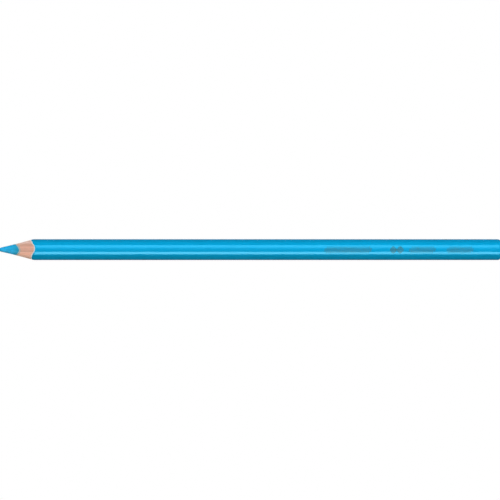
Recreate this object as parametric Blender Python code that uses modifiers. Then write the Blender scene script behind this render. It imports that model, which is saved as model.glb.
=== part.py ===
"""A wood-cased coloured pencil with a softly rounded three-sided barrel, built as its real layers.

The pencil lies along X with its point at -X and its butt at +X. It rests on one of the three flats
of its barrel, at Z = 0, with a ridge straight up. The origin is on that flat, under the middle of
the pencil's length. Every piece is fixed to its neighbours, so nothing moves.
"""

import math

import bmesh
import bpy
from mathutils import Matrix, Vector

MM = 0.001

# Driving dimensions of the whole pencil.
LENGTH = 175.0 * MM
RIDGE_RADIUS = 3.65 * MM  # from the axis to the top of a ridge
FLAT_APOTHEM = 3.41 * MM  # from the axis to a flat
CORE_RADIUS = 2.07 * MM

# The sharpened point: a rounded tip, then the core's cone, then the slightly wider cone of the wood.
TIP_RADIUS = 0.70 * MM
CORE_HALF_ANGLE = math.radians(13.2)
WOOD_HALF_ANGLE = math.radians(15.3)

# Layers, from the outside in. FIT_GAP is the clearance left between every two pieces.
FIT_GAP = 0.01 * MM
LACQUER_THICKNESS = 0.07 * MM
PRIMER_THICKNESS = 0.05 * MM
GLUE_THICKNESS = 0.06 * MM
FOIL_THICKNESS = 0.02 * MM

# The dipped butt.
DIP_LENGTH = 4.0 * MM
DIP_END_THICKNESS = 0.30 * MM
BUTT_EDGE_RADIUS = 1.55 * MM

# Foil marks along the top ridge, each from a start to an end measured from the tip.
FOIL_CENTRE_Y = -0.45 * MM  # the marks are stamped a little to one side of the crest
FOIL_BAND_HEIGHT = 2.4 * MM
FOIL_BAND_WAIST = 0.60 * MM
FOIL_BAND_PITCH = 1.55 * MM
FOIL_BANDS = {
    "foil_band_front": (112.4 * MM, 129.2 * MM),
    "foil_band_middle": (141.9 * MM, 151.5 * MM),
    "foil_band_rear": (155.1 * MM, 164.7 * MM),
}
EMBLEM_START = 134.9 * MM
EMBLEM_END = 140.7 * MM
EMBLEM_HEIGHT = 2.7 * MM
EMBLEM_WAIST = 0.9 * MM

# Fineness of the facets.
ARC_STEPS = 18
TURN_STEPS = 72
TIP_STEPS = 6
BUTT_EDGE_STEPS = 5
FLAT_ANGLE = math.radians(0.5)

# Worked out from the above.
TIP_X = -LENGTH / 2
BUTT_X = LENGTH / 2
DIP_X = BUTT_X - DIP_LENGTH
AXIS_Z = FLAT_APOTHEM
CORNER_RADIUS = 2 * FLAT_APOTHEM - RIDGE_RADIUS
CORNER_OFFSET = RIDGE_RADIUS - CORNER_RADIUS
PRIMER_INSET = LACQUER_THICKNESS + FIT_GAP
WOOD_INSET = PRIMER_INSET + PRIMER_THICKNESS + FIT_GAP
DIP_WALL = WOOD_INSET - FIT_GAP
WOOD_END_X = BUTT_X - DIP_END_THICKNESS - FIT_GAP
CORE_CONE_START = TIP_RADIUS / math.sin(CORE_HALF_ANGLE) - TIP_RADIUS
CORE_EDGE = CORE_RADIUS / math.tan(CORE_HALF_ANGLE) - CORE_CONE_START
OVERSHOOT = 2.0 * MM  # how far a cutter reaches past what it cuts
STOCK_RADIUS = 2 * RIDGE_RADIUS

LACQUER_BLUE = (0.012, 0.330, 0.680, 1.0)
CORE_BLUE = (0.030, 0.340, 0.640, 1.0)
WOOD_PINK = (0.680, 0.380, 0.290, 1.0)
GLUE_CREAM = (0.560, 0.430, 0.300, 1.0)
PRIMER_WHITE = (0.850, 0.830, 0.800, 1.0)
FOIL_GREY = (0.400, 0.440, 0.470, 1.0)


def clear_scene():
    for obj in list(bpy.data.objects):
        bpy.data.objects.remove(obj, do_unlink=True)


def new_collection(name):
    collection = bpy.data.collections.new(name)
    bpy.context.scene.collection.children.link(collection)
    return collection


def principled(name, colour, roughness, metallic=0.0, coat=0.0):
    """A material made of one Principled shader."""
    material = bpy.data.materials.new(name)
    material.use_nodes = True
    shader = material.node_tree.nodes["Principled BSDF"]
    shader.inputs["Base Color"].default_value = colour
    shader.inputs["Roughness"].default_value = roughness
    shader.inputs["Metallic"].default_value = metallic
    shader.inputs["Coat Weight"].default_value = coat
    return material


def make_object(name, mesh, collection, material=None):
    obj = bpy.data.objects.new(name, mesh)
    collection.objects.link(obj)
    if material:
        mesh.materials.append(material)
    return obj


def make_cutter(name, mesh):
    """A helper that only shapes other pieces: it is neither rendered nor built."""
    cutter = make_object(name, mesh, cutters)
    cutter.hide_render = True
    cutter.display_type = "WIRE"
    return cutter


def boolean(obj, operation, other):
    modifier = obj.modifiers.new(f"{operation.lower()} {other.name}", "BOOLEAN")
    modifier.operation = operation
    modifier.object = other
    modifier.solver = "EXACT"


def finish(obj, smooth_angle=30.0):
    """Parents a piece to the pencil and shades its round faces smooth."""
    obj.parent = pencil
    obj.data.shade_smooth()
    obj.data.set_sharp_from_angle(angle=math.radians(smooth_angle))
    return obj


def barrel_outline(inset):
    """The soft triangle around (0, 0), a ridge up, moved inwards by inset: three arcs that flats join."""
    points = []
    for corner in range(3):
        middle = math.radians(90 + 120 * corner)
        centre = CORNER_OFFSET * Vector((math.cos(middle), math.sin(middle)))
        for step in range(ARC_STEPS + 1):
            angle = middle + math.radians(120) * (step / ARC_STEPS - 0.5)
            outwards = Vector((math.cos(angle), math.sin(angle)))
            points.append(centre + (CORNER_RADIUS - inset) * outwards)
    return points


def extruded_mesh(name, outline, half_depth, placement):
    """A closed prism from a flat outline, extruded both ways along its normal and then placed."""
    curve = bpy.data.curves.new(name, "CURVE")
    curve.dimensions = "2D"
    curve.fill_mode = "BOTH"
    curve.extrude = half_depth
    spline = curve.splines.new("POLY")
    spline.points.add(len(outline) - 1)
    for point, (u, v) in zip(spline.points, outline):
        point.co = (u, v, 0.0, 1.0)
    spline.use_cyclic_u = True
    guide = bpy.data.objects.new(name, curve)
    bpy.context.scene.collection.objects.link(guide)
    graph = bpy.context.evaluated_depsgraph_get()
    mesh = bpy.data.meshes.new_from_object(guide.evaluated_get(graph))
    bpy.data.objects.remove(guide, do_unlink=True)
    bpy.data.curves.remove(curve)
    mesh.transform(placement)
    body = bmesh.new()
    body.from_mesh(mesh)
    bmesh.ops.remove_doubles(body, verts=body.verts, dist=1e-7)
    bmesh.ops.dissolve_limit(body, angle_limit=FLAT_ANGLE, verts=body.verts, edges=body.edges)
    bmesh.ops.recalc_face_normals(body, faces=body.faces)
    body.to_mesh(mesh)
    body.free()
    return mesh


def barrel_prism(name, inset, start_x, end_x, edge_radius=0.0):
    """A length of barrel along X, its outline moved inwards by inset and its butt end's edge rounded."""
    middle = Vector(((start_x + end_x) / 2, 0, AXIS_Z))
    along_x = Matrix(((0, 0, 1), (1, 0, 0), (0, 1, 0))).to_4x4()
    placement = Matrix.Translation(middle) @ along_x
    mesh = extruded_mesh(name, barrel_outline(inset), (end_x - start_x) / 2, placement)
    if edge_radius:
        round_end(mesh, end_x, edge_radius)
    return mesh


def round_end(mesh, end_x, radius):
    """Bevels the loop of edges where the prism's side meets its end at end_x."""
    body = bmesh.new()
    body.from_mesh(mesh)
    rim = [e for e in body.edges if all(abs(v.co.x - end_x) < FIT_GAP / 2 for v in e.verts)]
    bmesh.ops.bevel(
        body,
        geom=rim,
        offset=radius,
        offset_type="OFFSET",
        segments=BUTT_EDGE_STEPS,
        profile=0.5,
        affect="EDGES",
    )
    bmesh.ops.recalc_face_normals(body, faces=body.faces)
    body.to_mesh(mesh)
    body.free()


def box_mesh(name, low, high):
    body = bmesh.new()
    bmesh.ops.create_cube(body, size=1.0)
    bmesh.ops.scale(body, vec=high - low, verts=body.verts)
    bmesh.ops.translate(body, vec=(low + high) / 2, verts=body.verts)
    mesh = bpy.data.meshes.new(name)
    body.to_mesh(mesh)
    body.free()
    return mesh


def turned_mesh(name, profile):
    """The mesh of a profile of (distance from the tip, radius), which a Screw then turns about local Z."""
    mesh = bpy.data.meshes.new(name)
    points = [(radius, 0.0, along) for along, radius in reversed(profile)]
    edges = [(i, i + 1) for i in range(len(points) - 1)]
    mesh.from_pydata(points, edges, [])
    return mesh


def lay_turned(obj):
    """Turns the profile about its axis and lays that axis along X, from the tip."""
    screw = obj.modifiers.new("turned about the axis", "SCREW")
    screw.axis = "Z"
    screw.steps = TURN_STEPS
    screw.render_steps = TURN_STEPS
    screw.use_merge_vertices = True
    screw.merge_threshold = 1e-6
    obj.location = (TIP_X, 0, AXIS_Z)
    obj.rotation_euler = (0, math.radians(90), 0)


def point_profile():
    """The rounded tip and the core's cone, as (distance from the tip, radius) up to the core's edge."""
    profile = []
    sweep = math.pi / 2 - CORE_HALF_ANGLE
    for step in range(TIP_STEPS + 1):
        angle = sweep * step / TIP_STEPS
        profile.append((TIP_RADIUS * (1 - math.cos(angle)), TIP_RADIUS * math.sin(angle)))
    profile.append((CORE_EDGE, CORE_RADIUS))
    return profile


def cylinder_mesh(name, radius, start_x, end_x):
    """A solid cylinder on the pencil's axis."""
    body = bmesh.new()
    bmesh.ops.create_cone(
        body,
        cap_ends=True,
        segments=TURN_STEPS,
        radius1=radius,
        radius2=radius,
        depth=end_x - start_x,
        matrix=Matrix.Translation(((start_x + end_x) / 2, 0, AXIS_Z))
        @ Matrix.Rotation(math.radians(90), 4, "Y"),
    )
    mesh = bpy.data.meshes.new(name)
    body.to_mesh(mesh)
    body.free()
    return mesh


def make_sharpened_stock():
    """Everything that a sharpener leaves: the point's cones, widening until they clear the barrel."""
    run = (STOCK_RADIUS - CORE_RADIUS) / math.tan(WOOD_HALF_ANGLE)
    profile = point_profile()
    profile.append((CORE_EDGE + run, STOCK_RADIUS))
    profile.append((LENGTH + OVERSHOOT, STOCK_RADIUS))
    profile.append((LENGTH + OVERSHOOT, 0.0))
    stock = make_cutter("sharpened_stock", turned_mesh("sharpened_stock", profile))
    lay_turned(stock)
    return stock


def make_core_rod():
    """The pigmented core, turned in one piece with its sharpened point."""
    profile = point_profile()
    end = WOOD_END_X - TIP_X
    profile.append((end, CORE_RADIUS))
    profile.append((end, 0.0))
    core = make_object("core_rod", turned_mesh("core_rod", profile), pieces, core_material)
    lay_turned(core)
    return finish(core)


def make_slat(name, side):
    """One grooved half of the wood casing; side is +1 for the upper half and -1 for the lower."""
    blank = barrel_prism(name, WOOD_INSET, TIP_X, WOOD_END_X, BUTT_EDGE_RADIUS - WOOD_INSET)
    slat = make_object(name, blank, pieces, wood_material)
    face = GLUE_THICKNESS / 2 + FIT_GAP
    reach = 2 * RIDGE_RADIUS
    near = Vector((TIP_X - OVERSHOOT, -reach, AXIS_Z + side * face))
    far = Vector((BUTT_X + OVERSHOOT, reach, AXIS_Z + side * reach))
    low = Vector(map(min, near, far))
    high = Vector(map(max, near, far))
    half = make_cutter(f"{name}_half", box_mesh(f"{name}_half", low, high))
    boolean(slat, "INTERSECT", half)
    boolean(slat, "DIFFERENCE", groove)
    boolean(slat, "INTERSECT", sharpened_stock)
    return finish(slat)


def make_glue_film():
    """The glue between the slats and around the core: a sleeve with a thin wing on each side."""
    half = GLUE_THICKNESS / 2
    low = Vector((TIP_X, -RIDGE_RADIUS, AXIS_Z - half))
    high = Vector((WOOD_END_X, RIDGE_RADIUS, AXIS_Z + half))
    film = make_object("glue_film", box_mesh("glue_film", low, high), pieces, glue_material)
    sleeve_radius = CORE_RADIUS + FIT_GAP + GLUE_THICKNESS
    sleeve_mesh = cylinder_mesh("glue_sleeve", sleeve_radius, TIP_X - OVERSHOOT, WOOD_END_X)
    sleeve = make_cutter("glue_sleeve", sleeve_mesh)
    bore_mesh = cylinder_mesh(
        "core_bore", CORE_RADIUS + FIT_GAP, TIP_X - 2 * OVERSHOOT, BUTT_X + OVERSHOOT
    )
    bore = make_cutter("core_bore", bore_mesh)
    blank_mesh = barrel_prism(
        "wood_blank", WOOD_INSET, TIP_X - OVERSHOOT, WOOD_END_X, BUTT_EDGE_RADIUS - WOOD_INSET
    )
    blank = make_cutter("wood_blank", blank_mesh)
    boolean(film, "UNION", sleeve)
    boolean(film, "DIFFERENCE", bore)
    boolean(film, "INTERSECT", blank)
    boolean(film, "INTERSECT", sharpened_stock)
    return finish(film)


def make_coat(name, inset, thickness, material):
    """A coat on the barrel, from the sharpener's cut to the dip: a thin three-sided tube."""
    outer = barrel_prism(name, inset, TIP_X, DIP_X - FIT_GAP)
    coat = make_object(name, outer, pieces, material)
    hollow_mesh = barrel_prism(
        f"{name}_hollow", inset + thickness, TIP_X - OVERSHOOT, BUTT_X + OVERSHOOT
    )
    hollow = make_cutter(f"{name}_hollow", hollow_mesh)
    boolean(coat, "DIFFERENCE", hollow)
    boolean(coat, "INTERSECT", sharpened_stock)
    return finish(coat)


def make_end_dip():
    """The cup of lacquer that the butt was dipped in, its edge rounded and its end flat."""
    outer = barrel_prism("end_dip", 0.0, DIP_X, BUTT_X, BUTT_EDGE_RADIUS)
    dip = make_object("end_dip", outer, pieces, lacquer_material)
    hollow_mesh = barrel_prism(
        "end_dip_hollow",
        DIP_WALL,
        DIP_X - OVERSHOOT,
        BUTT_X - DIP_END_THICKNESS,
        BUTT_EDGE_RADIUS - DIP_WALL,
    )
    hollow = make_cutter("end_dip_hollow", hollow_mesh)
    boolean(dip, "DIFFERENCE", hollow)
    return finish(dip)


def lozenge_outline(start, end, count, height, waist):
    """A chain of lozenges seen from above, as (x, y): their widest points are joined by narrow waists."""
    pitch = (end - start) / count
    xs = [start + pitch * step / 2 for step in range(2 * count + 1)]
    halves = [(height if step % 2 else waist) / 2 for step in range(2 * count + 1)]
    upper = [(x, FOIL_CENTRE_Y + half) for x, half in zip(xs, halves)]
    lower = [(x, FOIL_CENTRE_Y - half) for x, half in zip(xs, halves)]
    return upper + lower[::-1]


def make_foil(name, start, end, count, height, waist):
    """A stamped foil mark: a film on the top ridge, cut to a chain of lozenges."""
    start_x = TIP_X + start
    end_x = TIP_X + end
    shell = barrel_prism(name, -FIT_GAP - FOIL_THICKNESS, start_x - OVERSHOOT, end_x + OVERSHOOT)
    foil = make_object(name, shell, pieces, foil_material)
    outline = lozenge_outline(start_x, end_x, count, height, waist)
    above_axis = Matrix.Translation((0, 0, AXIS_Z + RIDGE_RADIUS))
    stamp_mesh = extruded_mesh(f"{name}_stamp", outline, RIDGE_RADIUS / 2, above_axis)
    stamp = make_cutter(f"{name}_stamp", stamp_mesh)
    boolean(foil, "DIFFERENCE", foil_bed)
    boolean(foil, "INTERSECT", stamp)
    return finish(foil)


def make_foil_marks():
    for name, (start, end) in FOIL_BANDS.items():
        count = round((end - start) / FOIL_BAND_PITCH)
        make_foil(name, start, end, count, FOIL_BAND_HEIGHT, FOIL_BAND_WAIST)
    make_foil("foil_emblem", EMBLEM_START, EMBLEM_END, 2, EMBLEM_HEIGHT, EMBLEM_WAIST)


clear_scene()
pieces = new_collection("coloured_pencil")
cutters = new_collection("cutters")
pencil = bpy.data.objects.new("pencil", None)
pieces.objects.link(pencil)

lacquer_material = principled("blue_lacquer", LACQUER_BLUE, 0.18, coat=0.6)
core_material = principled("blue_core", CORE_BLUE, 0.55)
wood_material = principled("cedar", WOOD_PINK, 0.70)
glue_material = principled("glue", GLUE_CREAM, 0.50)
primer_material = principled("white_primer", PRIMER_WHITE, 0.60)
foil_material = principled("grey_foil", FOIL_GREY, 0.35, metallic=0.8)

sharpened_stock = make_sharpened_stock()
groove_radius = CORE_RADIUS + 2 * FIT_GAP + GLUE_THICKNESS
groove_mesh = cylinder_mesh("groove", groove_radius, TIP_X - OVERSHOOT, BUTT_X + OVERSHOOT)
groove = make_cutter("groove", groove_mesh)
foil_bed_mesh = barrel_prism("foil_bed", -FIT_GAP, TIP_X - OVERSHOOT, BUTT_X + OVERSHOOT)
foil_bed = make_cutter("foil_bed", foil_bed_mesh)

make_core_rod()
make_slat("upper_slat", 1)
make_slat("lower_slat", -1)
make_glue_film()
make_coat("primer_coat", PRIMER_INSET, PRIMER_THICKNESS, primer_material)
make_coat("colour_lacquer", 0.0, LACQUER_THICKNESS, lacquer_material)
make_end_dip()
make_foil_marks()
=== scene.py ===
"""The looks of a wood-cased coloured pencil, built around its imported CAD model.

The pencil lies along X with its point at -X, on one of the three flats of its barrel. Each CAD layer
is replaced by a finer piece in the same place. Lengths are in metres.
"""

import math

import bmesh
import bpy
import numpy as np
from mathutils import Matrix, Vector, noise


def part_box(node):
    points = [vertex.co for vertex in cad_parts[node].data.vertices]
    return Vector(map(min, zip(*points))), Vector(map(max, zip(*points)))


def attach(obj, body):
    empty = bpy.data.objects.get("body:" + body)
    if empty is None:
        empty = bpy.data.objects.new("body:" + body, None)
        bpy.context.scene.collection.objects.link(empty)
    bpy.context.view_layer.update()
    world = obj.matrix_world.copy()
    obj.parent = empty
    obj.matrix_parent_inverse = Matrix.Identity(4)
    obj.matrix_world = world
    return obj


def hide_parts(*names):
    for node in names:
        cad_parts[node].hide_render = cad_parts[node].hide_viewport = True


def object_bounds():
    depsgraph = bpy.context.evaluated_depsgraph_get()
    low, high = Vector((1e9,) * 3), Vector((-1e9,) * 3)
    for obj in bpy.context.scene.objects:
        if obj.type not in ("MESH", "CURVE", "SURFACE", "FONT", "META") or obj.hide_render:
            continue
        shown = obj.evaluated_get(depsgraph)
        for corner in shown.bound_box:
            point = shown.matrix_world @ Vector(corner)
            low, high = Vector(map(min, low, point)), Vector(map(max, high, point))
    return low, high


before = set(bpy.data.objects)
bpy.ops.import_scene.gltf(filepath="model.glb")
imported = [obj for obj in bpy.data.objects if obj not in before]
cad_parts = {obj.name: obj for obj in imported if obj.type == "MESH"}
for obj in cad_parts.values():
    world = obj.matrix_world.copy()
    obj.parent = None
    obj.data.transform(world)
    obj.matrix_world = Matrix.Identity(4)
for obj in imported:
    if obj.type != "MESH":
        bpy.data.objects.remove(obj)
cad_low, cad_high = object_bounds()

MM = 0.001
BODY = "root"

# The barrel and its layers, read from the CAD nodes.
core_low, core_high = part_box("core_rod")
lacquer_low, lacquer_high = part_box("colour_lacquer")
primer_low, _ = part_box("primer_coat")
slat_low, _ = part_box("lower_slat")
dip_low, dip_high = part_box("end_dip")

TIP_X = core_low.x
PENCIL_LENGTH = dip_high.x - TIP_X
CORE_LENGTH = core_high.x - TIP_X
DIP_START = dip_low.x - TIP_X
AXIS_Z = (core_low.z + core_high.z) / 2
APOTHEM = AXIS_Z - lacquer_low.z
RIDGE_RADIUS = lacquer_high.z - AXIS_Z
CORE_RADIUS = (core_high.z - core_low.z) / 2
PRIMER_INSET = primer_low.z - lacquer_low.z
WOOD_INSET = slat_low.z - lacquer_low.z
CORNER_RADIUS = 2 * APOTHEM - RIDGE_RADIUS
CORNER_OFFSET = RIDGE_RADIUS - CORNER_RADIUS
RIDGE_ANGLE = math.pi / 2
THIRD_TURN = 2 * math.pi / 3

# The sharpened point, as in the CAD model. The core's cone, if it weren't blunt, would reach
# CORE_CONE_START past the tip. The cone's slope changes at CONE_BREAK.
TIP_RADIUS = 0.70 * MM
CORE_HALF_ANGLE = math.radians(13.2)
WOOD_HALF_ANGLE = math.radians(15.3)
CORE_CONE_START = TIP_RADIUS / math.sin(CORE_HALF_ANGLE) - TIP_RADIUS
CONE_BREAK = CORE_RADIUS / math.tan(CORE_HALF_ANGLE) - CORE_CONE_START

# Where the core meets the casing on the cone: further from the tip on the side that faces up.
CORE_EDGE_LEAST = 5.54 * MM
CORE_EDGE_BULGE = 1.13 * MM
CORE_EDGE_TURN = math.radians(12)
CORE_EDGE_POWER = 5
CORE_EDGE_RIPPLES = ((0.05 * MM, 3.1, 3.0), (0.03 * MM, 8.7, 14.0))  # (height, seed, fineness)

GLUE_RING_WIDTH = 0.52 * MM
GLUE_WING_HALF = 0.04 * MM

# The outer surface of each layer: (how deep it lies under the barrel's, the seed of its cut edge).
PRIMER_SOAK = 0.01 * MM  # how far the primer has soaked into the wood
LACQUER_THINNED = 0.01 * MM  # how much thinner than in CAD the lacquer is, to show the primer's edge
WOOD_SURFACE = (WOOD_INSET + PRIMER_SOAK, 31.0)
PRIMER_SURFACE = (PRIMER_INSET - LACQUER_THINNED, 37.0)
LACQUER_SURFACE = (0.0, 43.0)

# The layers' cut edges: a slow and a fast ripple, each (height, step from the layer's seed, fineness),
# and on either side of each ridge a scallop towards the tip, each (angle from the ridge, depth, width).
LAYER_EDGE_RIPPLES = ((0.035 * MM, 0, 9.0), (0.02 * MM, 5, 24.0))
EDGE_SCALLOPS = (
    (math.radians(-35), 0.28 * MM, math.radians(14)),
    (math.radians(36), 0.38 * MM, math.radians(17)),
)
EDGE_ROLL = 0.02 * MM  # how softly a coat turns over at its cut edge
HIDDEN_MARGIN = 0.008 * MM  # how far a covered layer stays under the cone

# What the sharpener's blade leaves on the cone.
BLADE_DEPTH = 0.018 * MM
BLADE_FINENESS = np.array([0.9, 0.7, 0.7])  # along X, Y and Z, for each millimetre
SHARPENED_LENGTH = 12.5 * MM
SMOOTH_TIP_RADIUS = 0.2 * MM  # nothing nearer to the axis is moved

# The dipped butt. The lip's steps run back from its edge, each with its share of DIP_LIP in depth; the
# end's shares run out from its middle, each with its share of the dimple.
BUTT_EDGE_RADIUS = 1.55 * MM
DIP_LIP = 0.012 * MM
LIP_STEPS = np.array([0.0, 0.05, 0.12, 0.22, 0.4, 0.8, 1.4]) * MM
LIP_SHAPE = np.array([2.0, 0.5, 0.1, 0.0, 0.2, 0.6, 0.4])
DIMPLE_DEPTH = 0.06 * MM
END_SHARES = np.array([0.0, 0.15, 0.3, 0.5, 0.75, 0.9])
DIMPLE_SHAPE = np.array([1.0, 0.85, 0.45, 0.1, 0.0, 0.0])

# How finely the shapes are divided: columns round the axis and rows along it.
COLUMNS = 288
FINE_COLUMNS = 240
WING_COLUMNS = 5
TIP_ROWS = 14
CORE_CONE_ROWS = 60
WOOD_CONE_ROWS = 64
GLUE_FACE_ROWS = 5
COAT_FACE_ROWS = 4
COAT_ROWS = 24
CASING_EDGE_ROWS = 7
DIP_EDGE_ROWS = 14

# How far behind a layer's edge on the cone its next rows lie: along the side, and hidden inside.
ROD_STEPS = np.array([0.3, 3.0, 30.0]) * MM
BARREL_STEPS = np.array([0.1, 0.3, 0.6, 1.0, 4.0]) * MM
SHOULDER_STEPS = np.array([0.04, 0.1, 0.18, 0.28, 0.4, 0.52, 0.65, 0.8, 1.0, 1.3, 2.0]) * MM
COAT_RUN_START = 4 * MM
SHORT_WAY_IN = 1 * MM
LONG_WAY_IN = 30 * MM

WELD_DISTANCE = 1e-8
SHARP_ANGLE = math.radians(9)
FOIL_SHARP_ANGLE = math.radians(40)


# ---------------------------------------------------------------- shapes


def section_radius(angle, inset):
    """Distance from the axis to the barrel's surface, moved inwards by inset, at an angle round it."""
    away = np.abs((angle - RIDGE_ANGLE + THIRD_TURN / 2) % THIRD_TURN - THIRD_TURN / 2)
    corner = CORNER_RADIUS - inset
    on_arc = CORNER_OFFSET * np.cos(away) + np.sqrt(corner**2 - (CORNER_OFFSET * np.sin(away)) ** 2)
    on_flat = (APOTHEM - inset) / np.cos(THIRD_TURN / 2 - away)
    arc_height = corner * np.sin(THIRD_TURN / 2)
    tangent = np.arctan2(arc_height, CORNER_OFFSET + corner * np.cos(THIRD_TURN / 2))
    return np.where(away < tangent, on_arc, on_flat)


def cone_radius(along):
    """Radius of the sharpened cone at a distance from the tip."""
    core = (along + CORE_CONE_START) * math.tan(CORE_HALF_ANGLE)
    wood = CORE_RADIUS + (along - CONE_BREAK) * math.tan(WOOD_HALF_ANGLE)
    return np.where(along < CONE_BREAK, core, wood)


def cone_reach(radius):
    """Distance from the tip at which the cone has this radius."""
    core = radius / math.tan(CORE_HALF_ANGLE) - CORE_CONE_START
    wood = CONE_BREAK + (radius - CORE_RADIUS) / math.tan(WOOD_HALF_ANGLE)
    return np.where(radius < CORE_RADIUS, core, wood)


def full_turn(columns):
    """Angles spaced evenly over a full turn, as a column."""
    return np.linspace(0, 2 * math.pi, columns, endpoint=False)[:, None]


def every(angle, values):
    """The same row of values for every angle."""
    return np.tile(values, (len(angle), 1))


def between(first, last, count):
    """For every angle, a row of values spaced evenly from first to last."""
    return first + (last - first) * np.linspace(0, 1, count)


def ripple(angle, seed, fineness):
    """Smooth noise from -1 to 1 round the pencil, the same at both ends of a turn. A higher fineness
    gives more waves."""
    turns = np.ravel(angle)
    points = [Vector((math.cos(a) * fineness, math.sin(a) * fineness, seed)) for a in turns]
    return np.array([noise.noise(p) for p in points]).reshape(np.shape(angle))


def core_edge(angle):
    """Where the core meets the casing on the cone, as a distance from the tip."""
    edge = CORE_EDGE_LEAST + CORE_EDGE_BULGE * ((1 + np.sin(angle - CORE_EDGE_TURN)) / 2) ** CORE_EDGE_POWER
    for height, seed, fineness in CORE_EDGE_RIPPLES:
        edge = edge + height * ripple(angle, seed, fineness)
    return edge


def layer_edge(angle, depth, seed):
    """Where a layer's outer surface meets the cone, with the slight raggedness of a cut edge."""
    edge = cone_reach(section_radius(angle, depth))
    for centre, scallop_depth, width in EDGE_SCALLOPS:
        away = (angle - RIDGE_ANGLE - centre + THIRD_TURN / 2) % THIRD_TURN - THIRD_TURN / 2
        edge = edge - scallop_depth * np.exp(-((away / width) ** 2))
    for height, seed_step, fineness in LAYER_EDGE_RIPPLES:
        edge = edge + height * ripple(angle, seed + seed_step, fineness)
    return edge


def rolled(radius, along, margin):
    """A layer's radius at a distance from the tip, turned over softly to stay margin under the cone."""
    above = radius - cone_radius(along) + margin
    return radius - EDGE_ROLL * np.log1p(np.exp(above / EDGE_ROLL))


def rounded_end(angle, end, inset, count):
    """Distances from the tip and from the axis of a layer's rounded edge, from its side to its flat end."""
    turn = np.linspace(0, math.pi / 2, count)
    edge_radius = BUTT_EDGE_RADIUS - inset
    along = every(angle, end - edge_radius * (1 - np.sin(turn)))
    return along, section_radius(angle, inset + edge_radius * (1 - np.cos(turn)))


def place(angle, along, radius):
    """Points of the row frame at these angles, distances from the tip and distances from the axis."""
    angle, along, radius = np.broadcast_arrays(angle, along, radius)
    x = TIP_X + along
    y = radius * np.cos(angle)
    z = AXIS_Z + radius * np.sin(angle)
    return np.stack([x, y, z], axis=-1)


def roughened(points, radius):
    """The same points, those on the cone moved in and out by up to BLADE_DEPTH, as a blade leaves them."""
    for index in np.ndindex(radius.shape):
        x, y, z = points[index]
        if radius[index] < SMOOTH_TIP_RADIUS or x > TIP_X + SHARPENED_LENGTH:
            continue
        waver = noise.noise(Vector(points[index] / MM * BLADE_FINENESS))
        shift = 1 + BLADE_DEPTH * waver / radius[index]
        points[index] = (x, y * shift, AXIS_Z + (z - AXIS_Z) * shift)
    return points


# ---------------------------------------------------------------- meshes


def mesh_object(name, points, faces, material, sharp_angle=SHARP_ANGLE):
    """A closed mesh object with its doubled points welded and its normals facing out."""
    mesh = bpy.data.meshes.new(name)
    mesh.from_pydata(np.reshape(points, (-1, 3)).tolist(), [], faces)
    body = bmesh.new()
    body.from_mesh(mesh)
    bmesh.ops.remove_doubles(body, verts=body.verts, dist=WELD_DISTANCE)
    bmesh.ops.recalc_face_normals(body, faces=body.faces)
    if body.calc_volume(signed=True) < 0:
        bmesh.ops.reverse_faces(body, faces=body.faces)
    body.to_mesh(mesh)
    body.free()
    mesh.materials.append(material)
    mesh.shade_smooth()
    mesh.set_sharp_from_angle(angle=sharp_angle)
    obj = bpy.data.objects.new(name, mesh)
    bpy.context.scene.collection.objects.link(obj)
    return obj


def grid_faces(columns, rows, around, looped):
    """Quads of a grid of points stored column by column. around joins the last column to the first,
    and looped joins the last row to the first."""
    faces = []
    for c in range(columns if around else columns - 1):
        d = (c + 1) % columns
        for r in range(rows if looped else rows - 1):
            s = (r + 1) % rows
            faces.append((c * rows + r, d * rows + r, d * rows + s, c * rows + s))
    return faces


def poled(name, points, material):
    """A closed body whose columns all start on one point of the axis and end on another."""
    columns, rows = points.shape[:2]
    faces = []
    for face in grid_faces(columns, rows, True, False):
        rows_used = {index % rows for index in face}
        if 0 in rows_used:
            face = (0, face[2], face[3])
        elif rows - 1 in rows_used:
            face = (face[0], face[1], rows - 1)
        faces.append(face)
    return mesh_object(name, points, faces, material)


def ringed(name, points, material, around=True):
    """A body whose columns are closed profiles: a full ring, or an arc of one with flat ends."""
    columns, rows = points.shape[:2]
    faces = grid_faces(columns, rows, around, True)
    if not around:
        faces.append(tuple(range(rows)))
        faces.append(tuple(reversed(range((columns - 1) * rows, columns * rows))))
    return mesh_object(name, points, faces, material)


# ---------------------------------------------------------------- materials

# Linear colours, from dark to light where there are several.
LACQUER_BLUES = ((0.0012, 0.365, 0.745), (0.0016, 0.385, 0.775))
CORE_BLUES = ((0.006, 0.395, 0.730), (0.010, 0.475, 0.885), (0.028, 0.515, 0.985))
# Pale wax colour, which also serves as a painted glint on the core's reflective flecks.
CORE_WAX_AND_GLINT = (0.10, 0.62, 0.86)
CORE_RIM = (0.52, 0.68, 0.60)
FOIL_GREYS = ((0.016, 0.120, 0.155), (0.036, 0.165, 0.205))
GLUE_GREYS = ((0.38, 0.41, 0.40), (0.50, 0.53, 0.51))
PRIMER_WHITES = ((0.74, 0.72, 0.70), (0.84, 0.83, 0.82))
LACQUER_GLOSS = (0.15, 0.74, 1.0, 1)
CORE_GLOSS = (0.3, 0.8, 1.0, 1)
FOIL_GLOSS = (0.45, 0.85, 1.0, 1)

# The core darkens towards its edge, between these distances from the tip.
RIM_START = 4.2 * MM
RIM_END = 6.7 * MM
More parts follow.
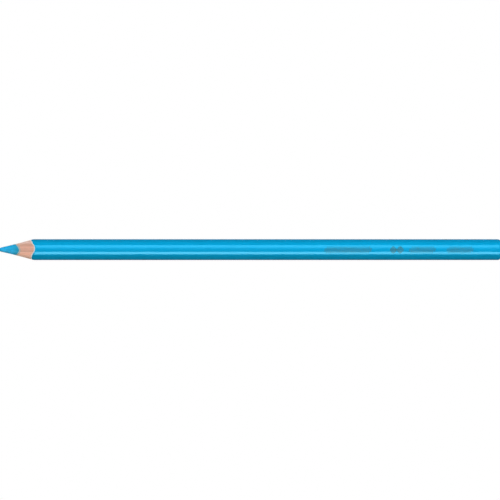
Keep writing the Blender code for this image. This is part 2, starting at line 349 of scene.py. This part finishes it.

# The wood's colour across its growth layers: (position, colour), from the -Y side to the +Y side. The layers
# on the -Y side take the palest colours partly as painted light, making up for the shade that falls on that
# side.
EARLY_WOOD = (0.860, 0.510, 0.420)
PLAIN_WOOD = (0.800, 0.480, 0.395)
LATE_WOOD = (0.710, 0.425, 0.335)
# Painted light: these two pale colours brighten the shaded -Y side of the wood.
PALE_WOOD_PAINTED_LIT = (0.950, 0.605, 0.505)
WARM_WOOD_PAINTED_LIT = (0.985, 0.580, 0.455)
GREY_WOOD = (0.800, 0.565, 0.520)
GROWTH_COLOURS_WITH_PAINTED_LIGHT = (
    (0.00, PALE_WOOD_PAINTED_LIT),
    (0.16, PALE_WOOD_PAINTED_LIT),
    (0.20, WARM_WOOD_PAINTED_LIT),
    (0.25, WARM_WOOD_PAINTED_LIT),
    (0.32, PALE_WOOD_PAINTED_LIT),
    (0.345, LATE_WOOD),
    (0.385, LATE_WOOD),
    (0.42, PLAIN_WOOD),
    (0.51, PLAIN_WOOD),
    (0.56, EARLY_WOOD),
    (0.61, PLAIN_WOOD),
    (0.67, LATE_WOOD),
    (0.71, LATE_WOOD),
    (0.77, GREY_WOOD),
    (1.00, GREY_WOOD),
)
# Fine dark lines between the layers, at these positions.
HAIRLINES = (0.12, 0.18, 0.30, 0.365, 0.475, 0.535, 0.625, 0.69, 0.84)
HAIRLINE_HALF = 0.006
HAIRLINE_TONE = 0.78
WAVER_TONES = ((0.93, 0.90, 0.89), (1.0, 1.0, 1.0))
PORE_BROWN = (0.40, 0.21, 0.15)
WOOD_SHEEN = (1.0, 0.88, 0.82, 1)

# How the growth layers lie, in millimetres: their half width, a shift across the pencil, and how far
# they wander. They lean round the axis and along it.
GROWTH_HALF = 3.6
GROWTH_SHIFT = -0.9
GROWTH_WANDER = 0.5
GROWTH_LEAN = (math.radians(-6), 0, math.radians(0.4))


def new_material(name):
    """A material with only a Principled shader, as (material, nodes, links, shader)."""
    material = bpy.data.materials.new(name)
    material.use_nodes = True
    tree = material.node_tree
    return material, tree.nodes, tree.links, tree.nodes["Principled BSDF"]


def millimetres(nodes, links, scale=(1, 1, 1)):
    """Object coordinates in millimetres, stretched by scale."""
    coordinates = nodes.new("ShaderNodeTexCoord")
    mapping = nodes.new("ShaderNodeMapping")
    mapping.inputs["Scale"].default_value = [s / MM for s in scale]
    links.new(coordinates.outputs["Object"], mapping.inputs["Vector"])
    return mapping.outputs["Vector"]


def component(nodes, links, vector, axis):
    """One component of a vector, named X, Y or Z."""
    node = nodes.new("ShaderNodeSeparateXYZ")
    links.new(vector, node.inputs["Vector"])
    return node.outputs[axis]


def noise_value(nodes, links, vector, scale, detail, roughness=0.55):
    """Fractal noise from 0 to 1."""
    texture = nodes.new("ShaderNodeTexNoise")
    texture.inputs["Scale"].default_value = scale
    texture.inputs["Detail"].default_value = detail
    texture.inputs["Roughness"].default_value = roughness
    links.new(vector, texture.inputs["Vector"])
    return texture.outputs["Fac"]


def ramp(nodes, links, value, stops):
    """A colour ramp from (position, colour) stops; a colour may be a single grey number."""
    node = nodes.new("ShaderNodeValToRGB")
    elements = node.color_ramp.elements
    while len(elements) < len(stops):
        elements.new(0.5)
    for element, (position, colour) in zip(elements, stops):
        grey = isinstance(colour, (int, float))
        element.position = position
        element.color = (colour, colour, colour, 1) if grey else (*colour, 1)
    links.new(value, node.inputs["Fac"])
    return node.outputs["Color"]


def feed(links, socket, value):
    """Gives a socket its value: another node's socket, a number or a colour."""
    if hasattr(value, "links"):
        links.new(value, socket)
    elif isinstance(value, (int, float)):
        socket.default_value = value
    else:
        socket.default_value = (*value, 1)


def mixed(nodes, links, factor, first, second, blend="MIX"):
    """Two colours mixed; all three inputs may be sockets or constants."""
    node = nodes.new("ShaderNodeMix")
    node.data_type = "RGBA"
    node.blend_type = blend
    feed(links, node.inputs[0], factor)
    feed(links, node.inputs[6], first)
    feed(links, node.inputs[7], second)
    return node.outputs[2]


def mixed_value(nodes, links, factor, first, second):
    """Two numbers mixed; all three inputs may be sockets or constants."""
    node = nodes.new("ShaderNodeMix")
    feed(links, node.inputs[0], factor)
    feed(links, node.inputs[2], first)
    feed(links, node.inputs[3], second)
    return node.outputs[0]


def mapped(nodes, links, value, low, high):
    """value, expected from 0 to 1, stretched to run from low to high."""
    node = nodes.new("ShaderNodeMapRange")
    node.inputs["To Min"].default_value = low
    node.inputs["To Max"].default_value = high
    links.new(value, node.inputs["Value"])
    return node.outputs["Result"]


def progress(nodes, links, value, start, end):
    """0 where value is at start or below, 1 where it is at end or above, and even in between."""
    node = nodes.new("ShaderNodeMapRange")
    node.inputs["From Min"].default_value = start
    node.inputs["From Max"].default_value = end
    links.new(value, node.inputs["Value"])
    return node.outputs["Result"]


def bump(nodes, links, shader, height, strength, distance):
    """Gives a shader's surface fine relief."""
    node = nodes.new("ShaderNodeBump")
    node.inputs["Strength"].default_value = strength
    node.inputs["Distance"].default_value = distance
    links.new(height, node.inputs["Height"])
    links.new(node.outputs["Normal"], shader.inputs["Normal"])


def lacquer_material():
    """Sky-blue gloss lacquer: faint clouding in the colour, slight orange peel and hairline scratches."""
    material, nodes, links, shader = new_material("sky_blue_lacquer")
    cloud = noise_value(nodes, links, millimetres(nodes, links, (0.25, 1, 1)), 0.35, 3)
    colour = ramp(nodes, links, cloud, [(0.3, LACQUER_BLUES[0]), (0.7, LACQUER_BLUES[1])])
    links.new(colour, shader.inputs["Base Color"])
    scratches = noise_value(nodes, links, millimetres(nodes, links, (0.12, 9, 9)), 1.0, 4)
    links.new(mapped(nodes, links, scratches, 0.07, 0.15), shader.inputs["Roughness"])
    peel = noise_value(nodes, links, millimetres(nodes, links, (0.2, 1, 1)), 1.6, 2)
    bump(nodes, links, shader, peel, 0.03, 0.002 * MM)
    shader.inputs["IOR"].default_value = 1.60
    shader.inputs["Specular Tint"].default_value = LACQUER_GLOSS
    return material


def core_material():
    """Waxy pigmented core: cloudy blue, fine turned scratches and paler smears, partly wax and partly
    painted glints of reflective flecks.
    """
    material, nodes, links, shader = new_material("pigmented_core")
    plain = millimetres(nodes, links)
    cloud = noise_value(nodes, links, plain, 0.7, 5, 0.6)
    colour = ramp(nodes, links, cloud, list(zip((0.34, 0.51, 0.68), CORE_BLUES)))
    turned = noise_value(nodes, links, millimetres(nodes, links, (9, 0.5, 0.5)), 1.0, 3)
    marks = ramp(nodes, links, turned, [(0.35, 0.86), (0.62, 1.0)])
    colour = mixed(nodes, links, 0.6, colour, marks, "MULTIPLY")
    # Pale specks: partly wax, partly painted glints of the core's reflective flecks.
    specks = noise_value(nodes, links, plain, 4.5, 2)
    pale_wax_and_glints = ramp(nodes, links, specks, [(0.66, 0.0), (0.74, 1.0)])
    colour = mixed(nodes, links, mapped(nodes, links, pale_wax_and_glints, 0.0, 0.45), colour, CORE_WAX_AND_GLINT)
    from_centre = component(nodes, links, plain, "X")
    rim = progress(nodes, links, from_centre, (TIP_X + RIM_START) / MM, (TIP_X + RIM_END) / MM)
    colour = mixed(nodes, links, rim, colour, CORE_RIM, "MULTIPLY")
    links.new(colour, shader.inputs["Base Color"])
    links.new(mapped(nodes, links, cloud, 0.42, 0.62), shader.inputs["Roughness"])
    bump(nodes, links, shader, mixed(nodes, links, 0.5, turned, specks), 0.4, 0.02 * MM)
    shader.inputs["Diffuse Roughness"].default_value = 0.6
    shader.inputs["Specular Tint"].default_value = CORE_GLOSS
    return material


def wood_material():
    """Bare pinkish softwood: uneven growth lines, long fibres, short pores and the sharpener's scratches.
    The growth lines on the -Y side are painted paler, as painted light against the shade there.
    """
    material, nodes, links, shader = new_material("pink_softwood")
    along = millimetres(nodes, links, (0.10, 1, 1))
    position = growth_position(nodes, links, along)
    # Growth colours, with painted light: paler on the shaded -Y side.
    colour = ramp(nodes, links, position, GROWTH_COLOURS_WITH_PAINTED_LIGHT)
    colour = mixed(nodes, links, 1.0, colour, ramp(nodes, links, position, hairline_stops()), "MULTIPLY")
    waver = noise_value(nodes, links, along, 0.8, 3)
    tone = ramp(nodes, links, waver, [(0.3, WAVER_TONES[0]), (0.7, WAVER_TONES[1])])
    colour = mixed(nodes, links, 1.0, colour, tone, "MULTIPLY")
    fibres = noise_value(nodes, links, millimetres(nodes, links, (0.22, 7, 7)), 1.0, 4, 0.65)
    fibre_tone = ramp(nodes, links, fibres, [(0.32, 0.84), (0.60, 1.0)])
    colour = mixed(nodes, links, 0.5, colour, fibre_tone, "MULTIPLY")
    pores = noise_value(nodes, links, millimetres(nodes, links, (0.9, 16, 16)), 1.0, 1)
    pore_mask = ramp(nodes, links, pores, [(0.66, 0.0), (0.72, 1.0)])
    colour = mixed(nodes, links, mapped(nodes, links, pore_mask, 0.0, 0.35), colour, PORE_BROWN)
    links.new(colour, shader.inputs["Base Color"])
    links.new(mapped(nodes, links, fibres, 0.78, 0.60), shader.inputs["Roughness"])
    cuts = noise_value(nodes, links, millimetres(nodes, links, (7, 0.4, 0.4)), 1.0, 2)
    bump(nodes, links, shader, mixed(nodes, links, 0.35, fibres, cuts), 0.5, 0.03 * MM)
    shader.inputs["IOR"].default_value = 1.40
    shader.inputs["Diffuse Roughness"].default_value = 1.0
    shader.inputs["Sheen Weight"].default_value = 0.2
    shader.inputs["Sheen Roughness"].default_value = 0.5
    shader.inputs["Sheen Tint"].default_value = WOOD_SHEEN
    return material


def growth_position(nodes, links, along):
    """Where a point lies across the growth layers: 0 at the -Y side of the pencil, 1 at the +Y side."""
    tilt = nodes.new("ShaderNodeMapping")
    tilt.inputs["Rotation"].default_value = GROWTH_LEAN
    tilt.inputs["Location"].default_value = (0, GROWTH_SHIFT, 0)
    links.new(along, tilt.inputs["Vector"])
    shifted = nodes.new("ShaderNodeMath")
    shifted.operation = "MULTIPLY_ADD"
    shifted.inputs[1].default_value = GROWTH_WANDER
    links.new(noise_value(nodes, links, along, 0.5, 2, 0.5), shifted.inputs[0])
    links.new(component(nodes, links, tilt.outputs["Vector"], "Y"), shifted.inputs[2])
    return progress(nodes, links, shifted.outputs["Value"], -GROWTH_HALF, GROWTH_HALF)


def hairline_stops():
    """Ramp stops that darken the wood along each hairline and leave it alone elsewhere."""
    stops = []
    for position in HAIRLINES:
        stops.append((position - HAIRLINE_HALF, 1.0))
        stops.append((position, HAIRLINE_TONE))
        stops.append((position + HAIRLINE_HALF, 1.0))
    return stops


def mottled_material(name, shades, roughness, scale, depth):
    """A matte film with fine mottling: the primer and the glue."""
    material, nodes, links, shader = new_material(name)
    spots = noise_value(nodes, links, millimetres(nodes, links), scale, 3)
    links.new(ramp(nodes, links, spots, [(0.3, shades[0]), (0.7, shades[1])]), shader.inputs["Base Color"])
    links.new(mapped(nodes, links, spots, roughness, roughness + 0.15), shader.inputs["Roughness"])
    bump(nodes, links, shader, spots, 0.4, depth)
    shader.inputs["Diffuse Roughness"].default_value = 1.0
    return material


def foil_material():
    """Hot-stamped grey-blue foil, a little worn: partly metallic, with duller and darker patches."""
    material, nodes, links, shader = new_material("stamped_foil")
    wear = noise_value(nodes, links, millimetres(nodes, links), 2.2, 4)
    colour = ramp(nodes, links, wear, [(0.3, FOIL_GREYS[0]), (0.7, FOIL_GREYS[1])])
    links.new(colour, shader.inputs["Base Color"])
    links.new(mapped(nodes, links, wear, 0.55, 0.38), shader.inputs["Roughness"])
    fine = noise_value(nodes, links, millimetres(nodes, links), 14.0, 2)
    bump(nodes, links, shader, fine, 0.3, 0.005 * MM)
    shader.inputs["Metallic"].default_value = 0.25
    shader.inputs["Specular Tint"].default_value = FOIL_GLOSS
    return material


# ---------------------------------------------------------------- pieces


def finish_piece(obj, node):
    """Makes a piece ride on the pencil and hides the CAD node that it stands for."""
    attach(obj, BODY)
    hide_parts(node)


def make_core(material):
    """The core with its blunt tip and turned cone, and the rod that runs back inside the casing."""
    angle = full_turn(FINE_COLUMNS)
    sweep = np.linspace(0, math.pi / 2 - CORE_HALF_ANGLE, TIP_ROWS)
    tip_along = every(angle, TIP_RADIUS * (1 - np.cos(sweep)))
    tip_radius = every(angle, TIP_RADIUS * np.sin(sweep))
    edge = core_edge(angle)
    cone_along = between(tip_along[:, -1:], edge, CORE_CONE_ROWS)[:, 1:]
    end_along = every(angle, [CORE_LENGTH, CORE_LENGTH])
    along = np.concatenate([tip_along, cone_along, edge + ROD_STEPS, end_along], axis=1)
    rod_radius = np.repeat(cone_radius(edge), len(ROD_STEPS) + 1, axis=1)
    centre = np.zeros_like(edge)
    radius = np.concatenate([tip_radius, cone_radius(cone_along), rod_radius, centre], axis=1)
    core = poled("core", roughened(place(angle, along, radius), radius), material)
    finish_piece(core, "core_rod")


def casing_profile(angle):
    """Closed profiles of the wood, from the glue ring over the cone and the barrel to the butt and back."""
    front = core_edge(angle) + GLUE_RING_WIDTH
    edge = layer_edge(angle, *WOOD_SURFACE)
    cone_along = between(front, edge, WOOD_CONE_ROWS)
    barrel_along = edge + BARREL_STEPS
    barrel = rolled(section_radius(angle, WOOD_SURFACE[0]), barrel_along, HIDDEN_MARGIN)
    butt_along, butt = rounded_end(angle, CORE_LENGTH, WOOD_INSET, CASING_EDGE_ROWS)
    end = np.full_like(front, CORE_LENGTH)
    groove_along = [end, front + LONG_WAY_IN, front + SHORT_WAY_IN]
    groove = [cone_radius(front)] * len(groove_along)
    along = np.concatenate([cone_along, barrel_along, butt_along, *groove_along], axis=1)
    radius = np.concatenate([cone_radius(cone_along), barrel, butt, *groove], axis=1)
    return along, radius


def make_casing(name, start, node, material):
    """One half of the casing, from start round by half a turn, less the glue line on each side."""
    gap = GLUE_WING_HALF / APOTHEM
    angle = np.linspace(start + gap, start + math.pi - gap, COLUMNS // 2)[:, None]
    along, radius = casing_profile(angle)
    half = ringed(name, roughened(place(angle, along, radius), radius), material, around=False)
    finish_piece(half, node)


def make_glue_ring(material):
    """The glue round the core, seen as a thin ring on the cone."""
    angle = full_turn(FINE_COLUMNS)
    inner_front = core_edge(angle)
    outer_front = inner_front + GLUE_RING_WIDTH
    face = between(inner_front, outer_front, GLUE_FACE_ROWS)
    end = np.full_like(inner_front, CORE_LENGTH)
    outer_along = [outer_front + LONG_WAY_IN, end]
    inner_along = [end, inner_front + LONG_WAY_IN]
    along = np.concatenate([face, *outer_along, *inner_along], axis=1)
    outer = [cone_radius(outer_front)] * len(outer_along)
    inner = [cone_radius(inner_front)] * len(inner_along)
    radius = np.concatenate([cone_radius(face), *outer, *inner], axis=1)
    ring = ringed("glue_ring", roughened(place(angle, along, radius), radius), material)
    finish_piece(ring, "glue_film")


def make_glue_wing(name, side, material):
    """The glue between the casing's halves on one side, seen as a fine line on the cone."""
    half = GLUE_WING_HALF / APOTHEM
    angle = side + np.linspace(-1, 1, WING_COLUMNS)[:, None] * half
    along, radius = casing_profile(angle)
    wing = ringed(name, roughened(place(angle, along, radius), radius), material, around=False)
    finish_piece(wing, "glue_film")


def coat_profile(angle, outer, inner, margin):
    """Closed profiles of a coat between two surfaces, from its cut face on the cone, back along the
    barrel and forward inside. It stays margin under the cone behind its cut face."""
    outer_depth, outer_seed = outer
    inner_depth, inner_seed = inner
    inner_edge = layer_edge(angle, inner_depth, inner_seed)
    outer_edge = layer_edge(angle, outer_depth + EDGE_ROLL, outer_seed)
    face = between(inner_edge, outer_edge, COAT_FACE_ROWS)
    shoulder = outer_edge + SHOULDER_STEPS
    run = between(outer_edge + COAT_RUN_START, DIP_START, COAT_ROWS)
    inside_along = [np.full_like(inner_edge, DIP_START), inner_edge + SHORT_WAY_IN]
    along = np.concatenate([face, shoulder, run, *inside_along], axis=1)
    outside = section_radius(angle, outer_depth)
    shoulder_radius = rolled(outside, shoulder, margin)
    run_radius = np.repeat(outside, COAT_ROWS, axis=1)
    inside = [section_radius(angle, inner_depth)] * len(inside_along)
    radius = np.concatenate([cone_radius(face), shoulder_radius, run_radius, *inside], axis=1)
    return along, radius


def make_coat(name, node, material, outer, inner, margin):
    """A coat along the barrel, in the given material."""
    angle = full_turn(COLUMNS)
    along, radius = coat_profile(angle, outer, inner, margin)
    coat = ringed(name, place(angle, along, radius), material)
    finish_piece(coat, node)


def make_dip(material):
    """The dipped butt: a cup with a soft lip, a rounded edge and a flat end with a slight dimple. Its
    profile runs from the middle of the end over the outside to the lip, and back inside."""
    angle = full_turn(COLUMNS)
    end_along = every(angle, PENCIL_LENGTH - DIMPLE_DEPTH * DIMPLE_SHAPE)
    end_radius = section_radius(angle, BUTT_EDGE_RADIUS) * END_SHARES
    outer_along, outer_radius = rounded_end(angle, PENCIL_LENGTH, 0.0, DIP_EDGE_ROWS)
    lip_along = every(angle, DIP_START + LIP_STEPS)
    lip_radius = section_radius(angle, DIP_LIP * LIP_SHAPE)
    mouth_along = np.full_like(angle, DIP_START)
    mouth_radius = section_radius(angle, WOOD_INSET)
    inner_along, inner_radius = rounded_end(angle, CORE_LENGTH, WOOD_INSET, DIP_EDGE_ROWS)
    floor_along = np.full_like(angle, CORE_LENGTH)
    floor_radius = np.zeros_like(angle)
    outside_along = [end_along, outer_along[:, ::-1], lip_along[:, ::-1]]
    outside_radius = [end_radius, outer_radius[:, ::-1], lip_radius[:, ::-1]]
    along = np.concatenate([*outside_along, mouth_along, inner_along, floor_along], axis=1)
    radius = np.concatenate([*outside_radius, mouth_radius, inner_radius, floor_radius], axis=1)
    dip = poled("dipped_butt", place(angle, along, radius), material)
    finish_piece(dip, "end_dip")


# ---------------------------------------------------------------- foil marks

FOIL_LIFT = 0.004 * MM
FOIL_THICKNESS = 0.012 * MM
HATCH_PITCH = 0.36 * MM
HATCH_STROKE = 0.19 * MM
HATCH_SLANT = 0.25  # how far a stroke leans along the pencil, as a share of its height
SHORT_STROKE = 0.62  # length and width of every second stroke, as shares of the others
TAPER_START = 0.5  # length of a band's first and last strokes, as a share of the full length
TAPER_STEP = 0.25  # how much longer each next stroke is, up to the full length
STROKE_STEPS = 6
EMBLEM_STROKE = 0.20 * MM
EMBLEM_LENGTH = 4.8 * MM
EMBLEM_SHARES = (0.97, 0.72, 0.47, 0.22)  # sizes of the nested lozenges
LOZENGE_POWER = 1.5  # 2 gives straight sides and 1 an ellipse
LOZENGE_STEPS = 40


def ridge_point(x, across, lift):
    """A point over the top ridge: across is the distance round the ridge from its crest, towards +Y."""
    turn = across / CORNER_RADIUS
    out = CORNER_RADIUS + lift
    return (x, out * math.sin(turn), AXIS_Z + CORNER_OFFSET + out * math.cos(turn))


def foil_strip(left, right):
    """Points and faces of a thin film between two lines of (x, across), which may close on themselves."""
    count = len(left)
    points = []
    for lift in (FOIL_LIFT, FOIL_LIFT + FOIL_THICKNESS):
        points += [ridge_point(x, across, lift) for x, across in left + right]
    top = 2 * count
    faces = []
    for i in range(count - 1):
        j = count + i
        faces.append((i, j, j + 1, i + 1))
        faces.append((top + i, top + i + 1, top + j + 1, top + j))
        faces.append((i, i + 1, top + i + 1, top + i))
        faces.append((j, top + j, top + j + 1, j + 1))
    if left[0] != left[-1]:
        for i in (0, count - 1):
            faces.append((i, top + i, top + count + i, count + i))
    return points, faces


def swollen(share):
    """A share from -1 to 1 of an ellipse's half size, brought in to the lozenge's side."""
    return math.copysign(abs(share) ** LOZENGE_POWER, share)


def lozenge_line(centre, middle, half_length, half_height):
    """A closed line round a lozenge with slightly swollen sides."""
    line = []
    for i in range(LOZENGE_STEPS):
        turn = 2 * math.pi * i / LOZENGE_STEPS
        x = centre + half_length * swollen(math.cos(turn))
        across = middle + half_height * swollen(math.sin(turn))
        line.append((x, across))
    line.append(line[0])
    return line


def lozenge_ring(centre, middle, half_length, half_height):
    """The inner and outer lines of a lozenge drawn with one stroke."""
    share = 1 - EMBLEM_STROKE / min(half_length, half_height)
    inner = lozenge_line(centre, middle, half_length * share, half_height * share)
    outer = lozenge_line(centre, middle, half_length, half_height)
    return inner, outer


def slanted_stroke(x, middle, reach, width):
    """The two sides of a stroke across the ridge, which leans along the pencil."""
    left = []
    right = []
    for i in range(STROKE_STEPS + 1):
        across = reach * (2 * i / STROKE_STEPS - 1)
        centre = x + HATCH_SLANT * across
        left.append((centre - width / 2, middle + across))
        right.append((centre + width / 2, middle + across))
    return left, right


def band_strips(low, high):
    """Fine slanted hatching, long and short strokes by turns, shorter towards both ends."""
    middle = (low.y + high.y) / 2
    tall = (high.y - low.y) / 2
    margin = HATCH_SLANT * tall + HATCH_STROKE / 2
    length = high.x - low.x - 2 * margin
    count = round(length / HATCH_PITCH)
    strips = []
    for i in range(count + 1):
        taper = min(1.0, TAPER_START + TAPER_STEP * min(i, count - i))
        size = SHORT_STROKE if i % 2 else 1.0
        x = low.x + margin + length * i / count
        strips.append(slanted_stroke(x, middle, tall * taper * size, HATCH_STROKE * size))
    return strips


def emblem_strips(low, high):
    """Two sets of nested lozenges side by side."""
    middle = (low.y + high.y) / 2
    tall = (high.y - low.y) / 2
    centre_x = (low.x + high.x) / 2
    half = EMBLEM_LENGTH / 4
    strips = []
    for centre in (centre_x - half, centre_x + half):
        for share in EMBLEM_SHARES:
            strips.append(lozenge_ring(centre, middle, half * share, tall * share))
    return strips


def make_foil(name, node, strips, material):
    """One foil mark, as a mesh of its separate strokes."""
    points = []
    faces = []
    for left, right in strips:
        new_points, new_faces = foil_strip(left, right)
        faces += [tuple(len(points) + i for i in face) for face in new_faces]
        points += new_points
    foil = mesh_object(name, points, faces, material, FOIL_SHARP_ANGLE)
    finish_piece(foil, node)


def make_foil_marks(material):
    """The three bands and the emblem, each within its CAD node's box."""
    for node in ("foil_band_front", "foil_band_middle", "foil_band_rear", "foil_emblem"):
        low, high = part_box(node)
        make_strips = emblem_strips if node == "foil_emblem" else band_strips
        make_foil(node.replace("foil", "stamped"), node, make_strips(low, high), material)


# ---------------------------------------------------------------- set and camera

CAMERA_ELEVATION = math.radians(84.6)
CAMERA_LEAN = math.radians(8.0)  # how far the camera leans from square-on towards the tip
CAMERA_LENS = 1500.0
SENSOR_WIDTH = 36.0
CAMERA_CLIP = 20.0
VIEW_WIDTH = 172.3 * MM
VIEW_CENTRE_FROM_TIP = 87.2 * MM
AXIS_ABOVE_CENTRE = 0.15 * MM
ALONG = Vector((1, 0, 0))
OUTWARDS = Vector((0, -math.cos(CAMERA_ELEVATION), math.sin(CAMERA_ELEVATION)))
UPWARDS = Vector((0, math.sin(CAMERA_ELEVATION), math.cos(CAMERA_ELEVATION)))

STRIP_DISTANCE = 0.55
STRIP_LENGTH = 0.60
BAND_COLOUR = (0.75, 0.95, 1.0)
LOWER_COLOUR = (1.40, 1.0, 0.90)
# Strips seen in reflections: (name, lowest and highest degrees off the camera, radiance, colour).
STRIPS = (
    ("band_edge", 27, 56, 4.1, BAND_COLOUR),
    ("band_middle", 18, 27, 2.6, BAND_COLOUR),
    ("band_fade", 9, 18, 0.9, BAND_COLOUR),
    ("lower_strip", -63, -31, 6.9, LOWER_COLOUR),
)
KEY_SPAN = (-18, 52)  # degrees off the camera
KEY_LIGHT = 2.52
KEY_COLOUR = (1.0, 1.0, 1.03)
KEY_DISTANCE = 0.9
REFLECTED_SHARE = 0.08  # what glossy reflections see of the room, as between black flags
ROOM_LIGHT = 0.25
ROOM_COLOUR = (1.0, 1.0, 0.62)
WHITE = (1, 1, 1)
FLOOR_GREY = (0.45, 0.45, 0.45, 1)
FLOOR_BLACK = (0.02, 0.02, 0.02, 1)
FLOOR_HALF = 3.0
FLOOR_GAP = 0.02 * MM


def make_camera():
    """A long lens above the pencil that leans towards the tip, with the pencil level in the picture."""
    data = bpy.data.cameras.new("camera")
    data.lens = CAMERA_LENS
    data.sensor_width = SENSOR_WIDTH
    data.clip_end = CAMERA_CLIP
    camera = bpy.data.objects.new("camera", data)
    bpy.context.scene.collection.objects.link(camera)
    back = OUTWARDS * math.cos(CAMERA_LEAN) - ALONG * math.sin(CAMERA_LEAN)
    right = ALONG * math.cos(CAMERA_LEAN) + OUTWARDS * math.sin(CAMERA_LEAN)
    up = back.cross(right)
    aim = Vector((TIP_X + VIEW_CENTRE_FROM_TIP, 0, AXIS_Z)) - up * AXIS_ABOVE_CENTRE
    camera.location = aim + back * VIEW_WIDTH * CAMERA_LENS / SENSOR_WIDTH
    camera.rotation_mode = "QUATERNION"
    camera.rotation_quaternion = Matrix((right, up, back)).transposed().to_quaternion()
    bpy.context.scene.camera = camera


def strip_light(name, low, high, radiance, colour, glossy=True, distance=STRIP_DISTANCE):
    """An area light along the pencil that fills the directions from low to high degrees off the camera,
    positive towards +Y. It lights either reflections or matte shading."""
    middle = math.radians((low + high) / 2)
    half = math.radians((high - low) / 2)
    data = bpy.data.lights.new(name, "AREA")
    data.shape = "RECTANGLE"
    data.size = STRIP_LENGTH * distance / STRIP_DISTANCE
    data.size_y = 2 * distance * math.tan(half)
    data.energy = radiance * math.pi * data.size * data.size_y
    data.color = colour
    light = bpy.data.objects.new(name, data)
    bpy.context.scene.collection.objects.link(light)
    away = OUTWARDS * math.cos(middle) + UPWARDS * math.sin(middle)
    mirrored = ALONG * distance * math.tan(CAMERA_LEAN)
    light.location = Vector((0, 0, AXIS_Z)) + away * distance + mirrored
    light.rotation_mode = "QUATERNION"
    light.rotation_quaternion = Matrix((ALONG, away.cross(ALONG), away)).transposed().to_quaternion()
    light.visible_camera = False
    light.visible_glossy = glossy
    light.visible_diffuse = not glossy


def make_lights():
    """The strips that the lacquer reflects, and a broad key light for the matte shading."""
    for strip in STRIPS:
        strip_light(*strip)
    strip_light("key", *KEY_SPAN, KEY_LIGHT, KEY_COLOUR, glossy=False, distance=KEY_DISTANCE)


def make_world():
    """A pure white surround for the camera, and a dim, slightly yellow room for everything else, dimmer
    still in glossy reflections."""
    world = bpy.data.worlds.new("room")
    bpy.context.scene.world = world
    world.use_nodes = True
    nodes = world.node_tree.nodes
    links = world.node_tree.links
    background = nodes["Background"]
    path = nodes.new("ShaderNodeLightPath")
    seen = path.outputs["Is Camera Ray"]
    reflected = path.outputs["Is Glossy Ray"]
    room = mixed_value(nodes, links, reflected, ROOM_LIGHT, ROOM_LIGHT * REFLECTED_SHARE)
    links.new(mixed_value(nodes, links, seen, room, 1.0), background.inputs["Strength"])
    links.new(mixed(nodes, links, seen, ROOM_COLOUR, WHITE), background.inputs["Color"])


def floor_material():
    """A pale matte table top, pure white to the camera and nearly black in glossy reflections."""
    material, nodes, links, shader = new_material("pale_floor")
    shader.inputs["Base Color"].default_value = FLOOR_GREY
    shader.inputs["Roughness"].default_value = 0.9
    shader.inputs["Specular IOR Level"].default_value = 0.0
    white = nodes.new("ShaderNodeEmission")
    white.inputs["Strength"].default_value = 1.0
    black = nodes.new("ShaderNodeBsdfDiffuse")
    black.inputs["Color"].default_value = FLOOR_BLACK
    path = nodes.new("ShaderNodeLightPath")
    surface = shader.outputs["BSDF"]
    choices = (("Is Glossy Ray", black.outputs["BSDF"]), ("Is Camera Ray", white.outputs["Emission"]))
    for ray, other in choices:
        choice = nodes.new("ShaderNodeMixShader")
        links.new(path.outputs[ray], choice.inputs["Fac"])
        links.new(surface, choice.inputs[1])
        links.new(other, choice.inputs[2])
        surface = choice.outputs["Shader"]
    links.new(surface, nodes["Material Output"].inputs["Surface"])
    return material


def make_floor():
    """A wide plane just under the pencil."""
    mesh = bpy.data.meshes.new("floor")
    corners = [(-1, -1, 0), (1, -1, 0), (1, 1, 0), (-1, 1, 0)]
    mesh.from_pydata([Vector(corner) * FLOOR_HALF for corner in corners], [], [(0, 1, 2, 3)])
    mesh.materials.append(floor_material())
    floor = bpy.data.objects.new("floor", mesh)
    floor.location.z = cad_low.z - FLOOR_GAP
    bpy.context.scene.collection.objects.link(floor)


# ---------------------------------------------------------------- the scene

lacquer = lacquer_material()
wood = wood_material()
glue = mottled_material("dried_glue", GLUE_GREYS, 0.45, 3.0, 0.01 * MM)
primer = mottled_material("white_primer", PRIMER_WHITES, 0.55, 5.0, 0.01 * MM)

make_core(core_material())
make_casing("casing_upper", 0.0, "upper_slat", wood)
make_casing("casing_lower", math.pi, "lower_slat", wood)
make_glue_ring(glue)
make_glue_wing("glue_wing_near", math.pi, glue)
make_glue_wing("glue_wing_far", 0.0, glue)
make_coat("primer", "primer_coat", primer, PRIMER_SURFACE, WOOD_SURFACE, HIDDEN_MARGIN)
make_coat("lacquer", "colour_lacquer", lacquer, LACQUER_SURFACE, PRIMER_SURFACE, 0.0)
make_dip(lacquer)
make_foil_marks(foil_material())

make_camera()
make_lights()
make_world()
make_floor()
bpy.context.scene.view_settings.view_transform = "Standard"
